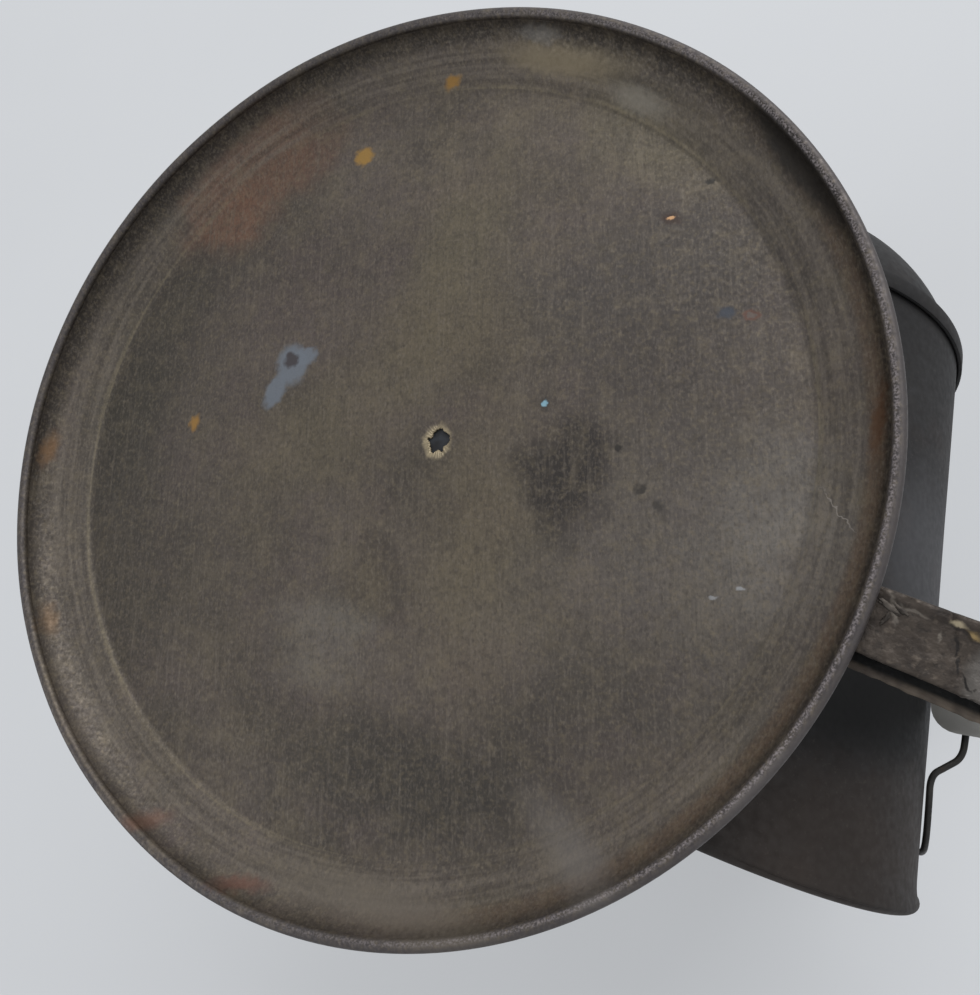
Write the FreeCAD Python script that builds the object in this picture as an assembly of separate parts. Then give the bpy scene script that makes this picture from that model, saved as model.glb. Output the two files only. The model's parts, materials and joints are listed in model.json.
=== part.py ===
import FreeCAD, Part
import math
import os

os.makedirs("parts", exist_ok=True)

Vector = FreeCAD.Vector
Rotation = FreeCAD.Rotation
Placement = FreeCAD.Placement

# Driving dimensions, in millimetres. The origin is on the floor under the middle of the pan, +Z is up, and
# the barrel runs over +Y from its slanted mouth to its domed cap.

sheet = 0.8

# pan: heights are measured from the plane through the middle of the rim curl
rim_radius = 127.0
rim_height = 240.0
curl_radius = 1.6
curl_inside = 0.95
rim_wire_radius = 0.9
pan_depth = 10.5
flat_radius = 108.3
step_width = 1.7
step_rise = 1.0
slope_radius = 119.6
slope_depth = 5.2
wall_radius = 123.6
wall_depth = 0.6
torn_hole_radius = 3.0
torn_hole_x = 11.4
torn_hole_y = 1.1

# pan socket and the post that it slides on
post_radius = 5.0
running_gap = 0.05
socket_radius = 7.5
socket_length = 30.0
socket_flange_radius = 16.0
socket_flange = 1.2
rest_gap = 0.3
post_foot_radius = 28.0
post_foot_thickness = 2.5

# pan handle, along its own X axis before it is turned
handle_turn = -14.8
handle_reach = 240.0
handle_root = 117.0
handle_top_drop = 3.4
handle_root_half = 7.3
handle_tip_half = 8.6
handle_side = 9.0
handle_open_to = 153.0
sole_lip = 3.2
solder_radius = 4.0
solder_thickness = 0.5

# barrel, along its own axis; local +Y is its underside, and its mouth is cut on a slant
barrel_radius = 68.0
barrel_slope = 10.76
mouth_x = 75.8
mouth_y = -102.4
mouth_z = 144.5
barrel_end = 177.0
mouth_at = 17.0
mouth_tilt = -9.86
mouth_swing = 11.75
mouth_bead_radius = 1.7
mouth_bead_ring = 68.6
window_from = 60.0
window_to = 130.0
window_half = 35.0

# sieve over the outlet window
sieve_gap = 0.1
sieve_from = 54.0
sieve_to = 136.0
sieve_half_angle = 38.0
sieve_hole_radius = 1.5
sieve_columns = 7
sieve_column_step = 9.0
sieve_rows = 9
sieve_row_step = 7.2

# seam strip on the upper far side of the barrel
seam_angle = 200.0
seam_width = 6.0
seam_rise = 1.2
seam_from = 30.0
seam_to = 165.0

# cap
skirt_from = 173.0
skirt_gap = 0.3
flange_width = 0.5
flange_height = 5.4
shoulder_at = 178.7
dome_radius = 66.2
dome_base = 180.5
dome_top = 229.3
cap_bush_radius = 8.0
cap_bush_from = 219.0
cap_bush_to = 239.0
cap_bush_flange_radius = 13.0

# shaft, bearings, paddles and crank
shaft_radius = 4.0
shaft_from = 34.0
shaft_to = 255.0
fixed_gap = 0.02
spider_at = 38.0
spider_length = 12.0
spider_hub_radius = 11.0
spider_bush_radius = 7.0
spider_arm_thickness = 2.0
paddle_hub_radius = 8.0
paddle_width = 26.0
paddle_reach = 62.0
paddle_thickness = 1.6
paddle_pitch = 25.0
paddle_middles = (66.0, 98.0, 130.0)
collar_radius = 9.0
collar_from = 211.0
collar_to = 217.0
arm_from = 243.0
arm_thickness = 4.0
arm_width = 14.0
arm_length = 70.0
nut_height = 6.0
nut_radius = 7.5
knob_pin_radius = 3.0
knob_from = 247.5
knob_length = 36.0
pin_head_radius = 5.0
pin_head_height = 2.0

# feet and stays
foot_sheet = 2.0
foot_flange = 14.0
foot_left = 66.0
foot_right = 58.0
foot_top_half = 60.0
foot_top_drop = 25.0
front_foot_y = -69.2
rear_foot_y = 46.8
stay_width = 12.0
stay_foot_x = 26.0

# strap under the handle and its wire
rest_z = 149.0
rest_sheet = 1.2
rest_y_from = -51.2
rest_y_to = -29.2
rest_reach = 164.4
rest_tab = 11.0
brace_radius = 1.35
brace_bend = 3.2
brace_clear = 0.55

slope_sin = math.sin(math.radians(barrel_slope))
slope_cos = math.cos(math.radians(barrel_slope))
barrel_inside = barrel_radius - sheet
curl_ring = rim_radius - curl_radius

# places local barrel shapes: local Z becomes the barrel axis and local Y its underside
barrel_place = Placement(Vector(mouth_x, mouth_y, mouth_z), Rotation(Vector(1, 0, 0), -(90.0 + barrel_slope)))
pan_place = Placement(Vector(0, 0, rim_height), Rotation())
handle_place = Placement(Vector(0, 0, rim_height), Rotation(Vector(0, 0, 1), handle_turn))


def save(name, shape, place=None):
    result = shape.copy()
    if place is not None:
        result.Placement = place.multiply(result.Placement)
    if result.ShapeType == "Compound" and len(result.Solids) == 1:
        result = result.Solids[0]
    print(name, "valid", result.isValid(), "solids", len(result.Solids), "volume", round(result.Volume, 1))
    result.exportStep("parts/" + name + ".step")


def flat_face(points):
    return Part.Face(Part.makePolygon(points + [points[0]]))


def turned(profile):
    # solid of revolution about Z from (radius, height) pairs
    face = flat_face([Vector(radius, 0, height) for radius, height in profile])
    return face.revolve(Vector(0, 0, 0), Vector(0, 0, 1), 360)


def turned_wire(edges):
    face = Part.Face(Part.Wire(edges))
    return face.revolve(Vector(0, 0, 0), Vector(0, 0, 1), 360)


def rod(radius, start, end):
    return Part.makeCylinder(radius, end - start, Vector(0, 0, start))


def tube(outer, inner, start, end):
    return rod(outer, start, end).cut(rod(inner, start - 1.0, end + 1.0))


def block(x_from, x_to, y_from, y_to, z_from, z_to):
    return Part.makeBox(x_to - x_from, y_to - y_from, z_to - z_from, Vector(x_from, y_from, z_from))


def bent_rod(points, radius, bend):
    # round rod along straight runs joined by tangent arcs
    edges = []
    start = points[0]
    for before, corner, after in zip(points, points[1:], points[2:]):
        to_before = (before - corner).normalize()
        to_after = (after - corner).normalize()
        half = to_before.getAngle(to_after) / 2.0
        reach = bend / math.tan(half)
        first = corner + to_before * reach
        last = corner + to_after * reach
        middle_way = (to_before + to_after).normalize()
        middle = corner + middle_way * (bend / math.sin(half) - bend)
        edges.append(Part.LineSegment(start, first).toShape())
        edges.append(Part.Arc(first, middle, last).toShape())
        start = last
    edges.append(Part.LineSegment(start, points[-1]).toShape())
    path = Part.Wire(edges)
    section = Part.Wire(Part.makeCircle(radius, points[0], points[1] - points[0]))
    return path.makePipeShell([section], True, True)


# Pan: sheet with a step, a sloping ring and a wall, curled round a wire at the rim

pan_profile = [
    (0.0, -pan_depth),
    (flat_radius, -pan_depth),
    (flat_radius + step_width, step_rise - pan_depth),
    (slope_radius, -slope_depth),
    (wall_radius, -wall_depth),
    (wall_radius + sheet, -wall_depth),
    (slope_radius + 0.9 * sheet, -slope_depth - 0.5 * sheet),
    (flat_radius + step_width + 0.4 * sheet, step_rise - pan_depth - 0.8 * sheet),
    (flat_radius + 0.4 * sheet, -pan_depth - sheet),
    (0.0, -pan_depth - sheet),
]
curl = Part.makeTorus(curl_ring, curl_radius).cut(Part.makeTorus(curl_ring, curl_inside))
curl_mouth = turned([
    (curl_ring - 0.6, -1.9),
    (curl_ring - 0.1, -1.9),
    (curl_ring - 0.1, -0.8),
    (curl_ring - 0.6, -0.8),
])
torn_hole = Part.makeCylinder(torn_hole_radius, 4.0, Vector(torn_hole_x, torn_hole_y, -pan_depth - 2.0))
pan_body = turned(pan_profile).fuse(curl).cut(curl_mouth).cut(torn_hole).removeSplitter()
save("pan_body", pan_body, pan_place)
save("pan_rim_wire", Part.makeTorus(curl_ring, rim_wire_radius), pan_place)

pan_under = -pan_depth - sheet
socket_bore = rod(post_radius + running_gap, pan_under - socket_length - 1.0, pan_under + 1.0)
socket_tube = rod(socket_radius, pan_under - socket_length, pan_under)
socket_ring = rod(socket_flange_radius, pan_under - socket_flange, pan_under)
pan_socket = socket_tube.fuse(socket_ring).cut(socket_bore)
save("pan_socket", pan_socket.removeSplitter(), pan_place)

# Handle: a folded channel under the curl, a wider strip below it and a solder mark on top.
# Its root is trimmed to the outside of the pan wall.

pan_outside = turned([
    (0.0, 1.0),
    (wall_radius + sheet + 0.4, 1.0),
    (wall_radius + sheet + 0.4, -wall_depth),
    (slope_radius + 0.9 * sheet + 0.2, -slope_depth - 0.5 * sheet),
    (flat_radius + step_width + 0.4 * sheet + 0.2, step_rise - pan_depth - 0.8 * sheet),
    (flat_radius + 0.4 * sheet + 0.2, -pan_depth - sheet),
    (flat_radius + 0.4 * sheet + 0.2, -30.0),
    (0.0, -30.0),
])


def handle_outline(inset, near_lip, far_lip, height):
    tip_middle = handle_reach - handle_tip_half
    root_half = handle_root_half - inset
    tip_half = handle_tip_half - inset
    first = Vector(handle_root, -root_half - near_lip, height)
    second = Vector(tip_middle, -tip_half - near_lip, height)
    tip = Vector(handle_reach - inset, 0, height)
    third = Vector(tip_middle, tip_half + far_lip, height)
    fourth = Vector(handle_root, root_half + far_lip, height)
    edges = [
        Part.LineSegment(first, second).toShape(),
        Part.Arc(second, tip, third).toShape(),
        Part.LineSegment(third, fourth).toShape(),
        Part.LineSegment(fourth, first).toShape(),
    ]
    return Part.Face(Part.Wire(edges))


channel_low = -handle_top_drop - handle_side
channel = handle_outline(0.0, 0.0, 0.0, channel_low).extrude(Vector(0, 0, handle_side))
hollow = handle_outline(sheet, 0.0, 0.0, channel_low - 1.0).extrude(Vector(0, 0, handle_side + 1.0 - sheet))
open_side = block(handle_root - 1.0, handle_open_to, -15.0, -5.5, channel_low - 1.0, -handle_top_drop - sheet)
handle_top = channel.cut(hollow).cut(open_side).cut(pan_outside)
save("handle_top", handle_top, handle_place)

sole = handle_outline(0.0, sole_lip, 0.0, channel_low - sheet).extrude(Vector(0, 0, sheet))
save("handle_sole", sole.cut(pan_outside), handle_place)

solder = Part.makeCylinder(solder_radius, solder_thickness, Vector(rim_radius + 7.0, 1.0, -handle_top_drop))
save("handle_solder", solder, handle_place)

# Post and foot that carry the pan

post_top = rim_height + pan_under - rest_gap
save("pan_post", rod(post_radius, post_foot_thickness, post_top))
save("post_foot", rod(post_foot_radius, 0.0, post_foot_thickness))

# Barrel with its slanted mouth, outlet window, wired edge, seam strip and sieve

tilt_sin = math.sin(math.radians(mouth_tilt))
tilt_cos = math.cos(math.radians(mouth_tilt))
swing_sin = math.sin(math.radians(mouth_swing))
swing_cos = math.cos(math.radians(mouth_swing))
mouth_middle = Vector(0, 0, mouth_at)
mouth_normal = Vector(swing_sin, tilt_sin * swing_cos, tilt_cos * swing_cos)
mouth_bead = Part.makeTorus(mouth_bead_ring, mouth_bead_radius, mouth_middle, mouth_normal)
before_mouth = Part.makeCylinder(2.0 * barrel_radius, 2.0 * barrel_radius, mouth_middle, mouth_normal * -1.0)
window = block(-window_half, window_half, 40.0, 90.0, window_from, window_to)
barrel = tube(barrel_radius, barrel_inside, -barrel_radius, barrel_end)
save("barrel", barrel.cut(before_mouth).cut(mouth_bead).cut(window), barrel_place)
save("mouth_bead", mouth_bead, barrel_place)

seam_half = seam_width / 2.0
seam = block(barrel_radius - 2.0, barrel_radius + seam_rise, -seam_half, seam_half, seam_from, seam_to)
seam = seam.cut(rod(barrel_radius, 0.0, barrel_end))
seam.rotate(Vector(0, 0, 0), Vector(0, 0, 1), seam_angle)
save("barrel_seam", seam, barrel_place)

sieve_inside = barrel_radius + sieve_gap
sieve_ring = tube(sieve_inside + sheet, sieve_inside, sieve_from, sieve_to)
sieve_side = 2.0 * barrel_radius * math.tan(math.radians(sieve_half_angle))
sieve_wedge = flat_face([
    Vector(0, 0, 0),
    Vector(-sieve_side, 2.0 * barrel_radius, 0),
    Vector(sieve_side, 2.0 * barrel_radius, 0),
]).extrude(Vector(0, 0, barrel_end))
sieve_holes = []
for column in range(sieve_columns):
    angle = 90.0 + (column - (sieve_columns - 1) / 2.0) * sieve_column_step
    way = Vector(math.cos(math.radians(angle)), math.sin(math.radians(angle)), 0)
    for row in range(sieve_rows):
        height = (window_from + window_to) / 2.0 + (row - (sieve_rows - 1) / 2.0) * sieve_row_step
        start = way * (barrel_radius - 3.0) + Vector(0, 0, height)
        sieve_holes.append(Part.makeCylinder(sieve_hole_radius, 8.0, start, way))
sieve = sieve_ring.common(sieve_wedge).cut(Part.makeCompound(sieve_holes))
save("sieve_panel", sieve, barrel_place)

# Spider and bush that carry the inner end of the shaft

spider_end = spider_at + spider_length
spider = tube(spider_hub_radius, spider_bush_radius, spider_at, spider_end)
for turn in (30.0, 150.0, 270.0):
    arm = block(
        spider_hub_radius - 0.5, barrel_inside - 0.05,
        -spider_arm_thickness / 2.0, spider_arm_thickness / 2.0,
        spider_at + 1.0, spider_end - 1.0)
    arm = arm.common(rod(barrel_inside - 0.05, spider_at, spider_end))
    arm.rotate(Vector(0, 0, 0), Vector(0, 0, 1), turn)
    spider = spider.fuse(arm)
save("spider", spider.removeSplitter(), barrel_place)
spider_bush = tube(spider_bush_radius, shaft_radius + running_gap, spider_at - 1.0, spider_end + 1.0)
save("spider_bush", spider_bush, barrel_place)

# Cap: skirt and dome in one sheet, a rolled flange round the skirt and a bush in the middle

skirt_inside = barrel_radius + skirt_gap
skirt_outside = skirt_inside + sheet
dome_middle = (
    (dome_radius ** 2 + dome_base ** 2 - cap_bush_radius ** 2 - dome_top ** 2)
    / (2.0 * (dome_base - dome_top)))
dome_ball = math.hypot(dome_radius, dome_base - dome_middle)


def dome_point(radius, ball):
    return Vector(radius, 0, dome_middle + math.sqrt(ball ** 2 - radius ** 2))


outer_foot = dome_point(dome_radius, dome_ball)
outer_top = dome_point(cap_bush_radius, dome_ball)
inner_foot = dome_point(dome_radius - 0.5, dome_ball - sheet)
inner_top = dome_point(cap_bush_radius, dome_ball - sheet)
shoulder_outer = Vector(skirt_outside, 0, shoulder_at)
shoulder_inner = Vector(skirt_inside, 0, shoulder_at - 0.7)
skirt_outer = Vector(skirt_outside, 0, skirt_from)
skirt_inner = Vector(skirt_inside, 0, skirt_from)
cap_edges = [
    Part.LineSegment(skirt_outer, shoulder_outer).toShape(),
    Part.LineSegment(shoulder_outer, outer_foot).toShape(),
    Part.Arc(outer_foot, dome_point(40.0, dome_ball), outer_top).toShape(),
    Part.LineSegment(outer_top, inner_top).toShape(),
    Part.Arc(inner_top, dome_point(40.0, dome_ball - sheet), inner_foot).toShape(),
    Part.LineSegment(inner_foot, shoulder_inner).toShape(),
    Part.LineSegment(shoulder_inner, skirt_inner).toShape(),
    Part.LineSegment(skirt_inner, skirt_outer).toShape(),
]
save("cap_dome", turned_wire(cap_edges), barrel_place)
cap_flange = tube(skirt_outside + flange_width, skirt_outside, skirt_from, skirt_from + flange_height)
save("cap_flange", cap_flange, barrel_place)
bush_flange = rod(cap_bush_flange_radius, dome_top + 0.05, dome_top + 2.05)
cap_bush = rod(cap_bush_radius, cap_bush_from, cap_bush_to).fuse(bush_flange)
cap_bush = cap_bush.cut(rod(shaft_radius + running_gap, cap_bush_from - 1.0, cap_bush_to + 1.0))
save("cap_bush", cap_bush.removeSplitter(), barrel_place)

# Rotor: shaft, collar, three pitched paddles, crank arm, nut and knob pin

save("shaft", rod(shaft_radius, shaft_from, shaft_to), barrel_place)
fixed_bore = shaft_radius + fixed_gap
save("thrust_collar", tube(collar_radius, fixed_bore, collar_from, collar_to), barrel_place)

for index, middle in enumerate(paddle_middles):
    half = paddle_width / 2.0
    blade = block(0.0, paddle_reach, -paddle_thickness / 2.0, paddle_thickness / 2.0, -half, half)
    blade.rotate(Vector(0, 0, 0), Vector(1, 0, 0), paddle_pitch)
    paddle = rod(paddle_hub_radius, -half, half).fuse(blade).cut(rod(fixed_bore, -half - 1.0, half + 1.0))
    paddle.rotate(Vector(0, 0, 0), Vector(0, 0, 1), 30.0 + 120.0 * index)
    paddle.translate(Vector(0, 0, middle))
    save("paddle_" + str(index + 1), paddle.removeSplitter(), barrel_place)

arm_to = arm_from + arm_thickness
arm = block(-arm_width / 2.0, arm_width / 2.0, 0.0, arm_length, arm_from, arm_to)
arm = arm.fuse(rod(arm_width / 2.0, arm_from, arm_to))
pin_foot = Vector(0, arm_length, 0)
arm_end = rod(arm_width / 2.0, arm_from, arm_to)
arm_end.translate(pin_foot)
arm = arm.fuse(arm_end).cut(rod(fixed_bore, arm_from - 1.0, arm_to + 1.0))
pin_hole = rod(knob_pin_radius + fixed_gap, arm_from - 1.0, arm_to + 1.0)
pin_hole.translate(pin_foot)
save("crank_arm", arm.cut(pin_hole).removeSplitter(), barrel_place)

nut_corners = []
for corner in range(6):
    angle = math.radians(60.0 * corner)
    nut_corners.append(Vector(nut_radius * math.cos(angle), nut_radius * math.sin(angle), arm_to))
nut = flat_face(nut_corners).extrude(Vector(0, 0, nut_height))
save("crank_nut", nut.cut(rod(fixed_bore, arm_to - 1.0, arm_to + nut_height + 1.0)), barrel_place)

knob_end = knob_from + knob_length
pin = rod(knob_pin_radius, arm_from, knob_end + 0.5)
pin = pin.fuse(rod(pin_head_radius, knob_end + 0.5, knob_end + 0.5 + pin_head_height))
pin.translate(pin_foot)
save("knob_pin", pin.removeSplitter(), barrel_place)

knob_bore = knob_pin_radius + running_gap
knob_profile = [
    (knob_bore, knob_from),
    (7.0, knob_from),
    (7.6, knob_from + 3.0),
    (10.2, knob_from + 12.0),
    (11.8, knob_from + 22.0),
    (11.2, knob_from + 29.0),
    (8.6, knob_from + 34.5),
    (6.5, knob_end),
    (knob_bore, knob_end),
]
knob = turned(knob_profile)
knob.translate(pin_foot)
save("crank_knob", knob, barrel_place)

# Saddle feet, cut to the barrel, and the stays that tie them to the post foot

barrel_round = rod(barrel_radius, -20.0, barrel_end + 40.0)
barrel_round.Placement = barrel_place


def axis_height(y):
    return mouth_z - (y - mouth_y) * slope_sin / slope_cos


def saddle_foot(y, flange_way):
    top = axis_height(y) - foot_top_drop
    outline = flat_face([
        Vector(mouth_x - foot_left, y, 0),
        Vector(mouth_x + foot_right, y, 0),
        Vector(mouth_x + foot_top_half, y, top),
        Vector(mouth_x - foot_top_half, y, top),
    ])
    plate = outline.extrude(Vector(0, flange_way * foot_sheet, 0)).cut(barrel_round)
    y_ends = sorted((y, y + flange_way * foot_flange))
    flange = block(mouth_x - foot_left, mouth_x + foot_right, y_ends[0], y_ends[1], 0.0, foot_sheet)
    return plate.fuse(flange).removeSplitter()


save("front_foot", saddle_foot(front_foot_y, -1))
save("rear_foot", saddle_foot(rear_foot_y, 1))

post_clear = rod(post_radius + fixed_gap, 0.0, 20.0)


def stay(y):
    length = math.hypot(stay_foot_x, y)
    turn = math.degrees(math.atan2(y, stay_foot_x))
    stay_half = stay_width / 2.0
    strip = block(0.0, length + 10.0, -stay_half, stay_half, post_foot_thickness, post_foot_thickness + 2.0)
    strip.rotate(Vector(0, 0, 0), Vector(0, 0, 1), turn)
    side = 1 if y > 0 else -1
    y_ends = sorted((side * 8.0, y))
    room = block(-60.0, 140.0, y_ends[0], y_ends[1], 0.0, 10.0)
    return strip.common(room).cut(post_clear)


save("front_stay", stay(front_foot_y))
save("rear_stay", stay(rear_foot_y))

# Strap on the barrel under the handle, and the wire that braces it along the barrel wall

strap_top = rim_height + channel_low - sheet - rest_gap
ledge = block(mouth_x + 50.0, rest_reach, rest_y_from, rest_y_to, rest_z, rest_z + rest_sheet)
upright = block(rest_reach - rest_sheet, rest_reach, rest_y_from, rest_y_to, rest_z, strap_top)
tab = block(rest_reach - rest_tab, rest_reach, rest_y_from, rest_y_to, strap_top - rest_sheet, strap_top)
strap = ledge.fuse(upright).fuse(tab).cut(barrel_round)
save("handle_rest", strap.removeSplitter())

wire_z = rest_z - brace_radius - 0.05
wall_x = mouth_x + barrel_radius + brace_radius + brace_clear - 0.4


def round_barrel(angle, y):
    ring = barrel_radius + brace_radius + 2.2
    x = mouth_x + ring * math.cos(math.radians(angle))
    z = axis_height(y) - ring * math.sin(math.radians(angle))
    return Vector(x, y, z)


wire_points = [
    Vector(152.5, -43.2, wire_z),
    Vector(152.5, -57.8, wire_z),
    Vector(wall_x, -63.6, wire_z),
    Vector(wall_x, -79.2, wire_z - 3.0),
    round_barrel(14.0, -87.2),
    round_barrel(36.0, -89.2),
    round_barrel(58.0, -90.2),
]
save("rest_wire", bent_rod(wire_points, brace_radius, brace_bend))
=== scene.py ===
import json
import math
import bmesh
import bpy
from mathutils import Matrix, Vector, noise


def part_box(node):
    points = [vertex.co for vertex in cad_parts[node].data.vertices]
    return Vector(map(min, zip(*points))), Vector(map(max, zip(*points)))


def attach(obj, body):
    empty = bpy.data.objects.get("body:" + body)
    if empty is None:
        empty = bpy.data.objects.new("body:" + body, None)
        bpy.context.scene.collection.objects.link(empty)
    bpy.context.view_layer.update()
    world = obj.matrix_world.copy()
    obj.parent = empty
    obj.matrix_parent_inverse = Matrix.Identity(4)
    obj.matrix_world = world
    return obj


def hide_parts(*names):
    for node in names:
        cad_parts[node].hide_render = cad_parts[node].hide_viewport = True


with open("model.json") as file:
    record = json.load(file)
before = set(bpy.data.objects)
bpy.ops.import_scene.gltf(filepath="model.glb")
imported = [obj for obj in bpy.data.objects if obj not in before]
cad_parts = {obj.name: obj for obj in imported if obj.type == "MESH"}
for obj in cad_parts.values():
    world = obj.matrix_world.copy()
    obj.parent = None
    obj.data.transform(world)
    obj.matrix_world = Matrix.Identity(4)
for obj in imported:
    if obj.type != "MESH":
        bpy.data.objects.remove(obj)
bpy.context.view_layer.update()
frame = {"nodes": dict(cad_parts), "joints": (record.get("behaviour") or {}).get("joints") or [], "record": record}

scene = bpy.context.scene
nodes = frame["nodes"]
joints = {joint["name"]: joint for joint in frame["joints"]}
mm = 0.001


def linear(hexColour):  # sRGB hex to the linear colour that shaders take
    shades = [int(hexColour[i:i + 2], 16) / 255 for i in (0, 2, 4)]
    curve = [s / 12.92 if s <= 0.04045 else ((s + 0.055) / 1.055) ** 2.4 for s in shades]
    return (*curve, 1.0)


def addNode(tree, kind, inputs=None, **settings):
    node = tree.nodes.new(kind)
    for name, value in settings.items():
        setattr(node, name, value)
    for socket, value in (inputs or {}).items():
        if isinstance(value, bpy.types.NodeSocket):
            tree.links.new(value, node.inputs[socket])
        else:
            node.inputs[socket].default_value = value
    return node


def startMaterial(name, metallic, roughness):
    material = bpy.data.materials.new(name)
    material.use_nodes = True
    tree = material.node_tree
    tree.nodes.clear()
    shader = addNode(tree, "ShaderNodeBsdfPrincipled", {"Metallic": metallic, "Roughness": roughness})
    addNode(tree, "ShaderNodeOutputMaterial", {"Surface": shader.outputs[0]})
    coords = addNode(tree, "ShaderNodeTexCoord")
    inMm = addNode(tree, "ShaderNodeMapping", {
        "Vector": coords.outputs["Object"], "Scale": (1000, 1000, 1000)})
    return material, tree, shader, inMm.outputs[0]


# lays a tint over a colour where a noise of that grain size, in mm, is high
def addMottle(tree, coords, under, tint, size, low, high, amount, detail=4.0, stretch=(1, 1, 1), turn=0.0):
    scale = tuple(size / s for s in stretch)
    place = addNode(tree, "ShaderNodeMapping", {
        "Vector": coords, "Rotation": (0, 0, turn), "Scale": scale}, vector_type="TEXTURE")
    patches = addNode(tree, "ShaderNodeTexNoise", {
        "Vector": place.outputs[0], "Scale": 1.0, "Detail": detail})
    mask = addNode(tree, "ShaderNodeMapRange", {
        "Value": patches.outputs[0], "From Min": low, "From Max": high, "To Max": amount})
    mix = addNode(tree, "ShaderNodeMix", {0: mask.outputs[0], 6: under, 7: linear(tint)}, data_type="RGBA")
    return mix.outputs[2]


# a place that wanders by up to half of shift, in mm, so that what is looked up there has an uneven edge
def addWander(tree, coords, size, detail, shift):
    drift = addNode(tree, "ShaderNodeTexNoise", {"Vector": coords, "Scale": 1 / size, "Detail": detail})
    centred = addNode(tree, "ShaderNodeVectorMath", {
        0: drift.outputs[1], 1: (0.5, 0.5, 0.5)}, operation="SUBTRACT")
    wander = addNode(tree, "ShaderNodeVectorMath", {
        0: centred.outputs[0], 1: (shift, shift, 0), 2: coords}, operation="MULTIPLY_ADD")
    return wander.outputs[0]


# one oval stain seen from above: place and half-sizes in mm, soft is the share of its size that fades out
def addStain(tree, coords, under, stain):
    at, size, tint, amount, soft, turn = stain
    place = addNode(tree, "ShaderNodeMapping", {
        "Vector": coords, "Location": (*at, 0.0), "Rotation": (0, 0, math.radians(turn)),
        "Scale": (*size, 1e5)}, vector_type="TEXTURE")
    reach = addNode(tree, "ShaderNodeVectorMath", {0: place.outputs[0]}, operation="LENGTH")
    mask = addNode(tree, "ShaderNodeMapRange", {
        "Value": reach.outputs["Value"], "From Min": 1.0 + soft, "From Max": 1.0 - soft, "To Max": amount},
        interpolation_type="SMOOTHSTEP")
    mix = addNode(tree, "ShaderNodeMix", {0: mask.outputs[0], 6: under, 7: linear(tint)}, data_type="RGBA")
    return mix.outputs[2]


# lays a tint over a band of radius around the pan's middle, broken up by streaks that run round it
def addBand(tree, radius, streaks, under, tint, start, full, fade, end, amount):
    rise = addNode(tree, "ShaderNodeMapRange", {"Value": radius, "From Min": start, "From Max": full})
    fall = addNode(tree, "ShaderNodeMapRange", {"Value": radius, "From Min": end, "From Max": fade})
    band = addNode(tree, "ShaderNodeMath", {0: rise.outputs[0], 1: fall.outputs[0]}, operation="MULTIPLY")
    broken = addNode(tree, "ShaderNodeMath", {0: band.outputs[0], 1: streaks}, operation="MULTIPLY")
    mask = addNode(tree, "ShaderNodeMath", {0: broken.outputs[0], 1: amount}, operation="MULTIPLY")
    mix = addNode(tree, "ShaderNodeMix", {0: mask.outputs[0], 6: under, 7: linear(tint)}, data_type="RGBA")
    return mix.outputs[2]


# the colour, with fine relief and uneven gloss from one noise, size and depth in mm
def addTooth(tree, coords, shader, colour, size, depth, smooth, rough):
    tree.links.new(colour, shader.inputs["Base Color"])
    place = addNode(tree, "ShaderNodeMapping", {"Vector": coords, "Scale": (1 / size, 1 / size, 1 / size)})
    grain = addNode(tree, "ShaderNodeTexNoise", {"Vector": place.outputs[0], "Scale": 1.0, "Detail": 6.0})
    gloss = addNode(tree, "ShaderNodeMapRange", {
        "Value": grain.outputs[0], "From Min": 0.3, "From Max": 0.7, "To Min": smooth, "To Max": rough})
    relief = addNode(tree, "ShaderNodeBump", {
        "Height": grain.outputs[0], "Strength": 1.0, "Distance": depth * mm})
    tree.links.new(gloss.outputs[0], shader.inputs["Roughness"])
    tree.links.new(relief.outputs[0], shader.inputs["Normal"])


def finishPiece(bm, name, body, material, replaced=(), sharp=40.0):
    mesh = bpy.data.meshes.new(name)
    bm.to_mesh(mesh)
    bm.free()
    mesh.shade_smooth()
    mesh.set_sharp_from_angle(angle=math.radians(sharp))
    mesh.materials.append(material)
    piece = bpy.data.objects.new(name, mesh)
    scene.collection.objects.link(piece)
    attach(piece, body)
    if replaced:
        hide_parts(*replaced)
    print("piece", name, len(mesh.polygons), "faces")
    return piece


def giveWall(piece, thickness):
    wall = piece.modifiers.new("sheet", "SOLIDIFY")
    wall.thickness = thickness
    wall.offset = -1.0
    wall.use_quality_normals = True


# turns an open sheet so that the face nearest the probe looks the wanted way
def faceOutwards(bm, probe, wanted):
    bmesh.ops.remove_doubles(bm, verts=bm.verts, dist=0.002 * mm)
    bmesh.ops.recalc_face_normals(bm, faces=bm.faces)
    nearest = min(bm.faces, key=lambda face: (face.calc_center_median() - probe).length)
    if nearest.normal.dot(wanted) < 0:
        bmesh.ops.reverse_faces(bm, faces=bm.faces)


def ease(value, start, end):
    share = min(max((value - start) / (end - start), 0.0), 1.0)
    return share * share * (3 - 2 * share)


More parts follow.
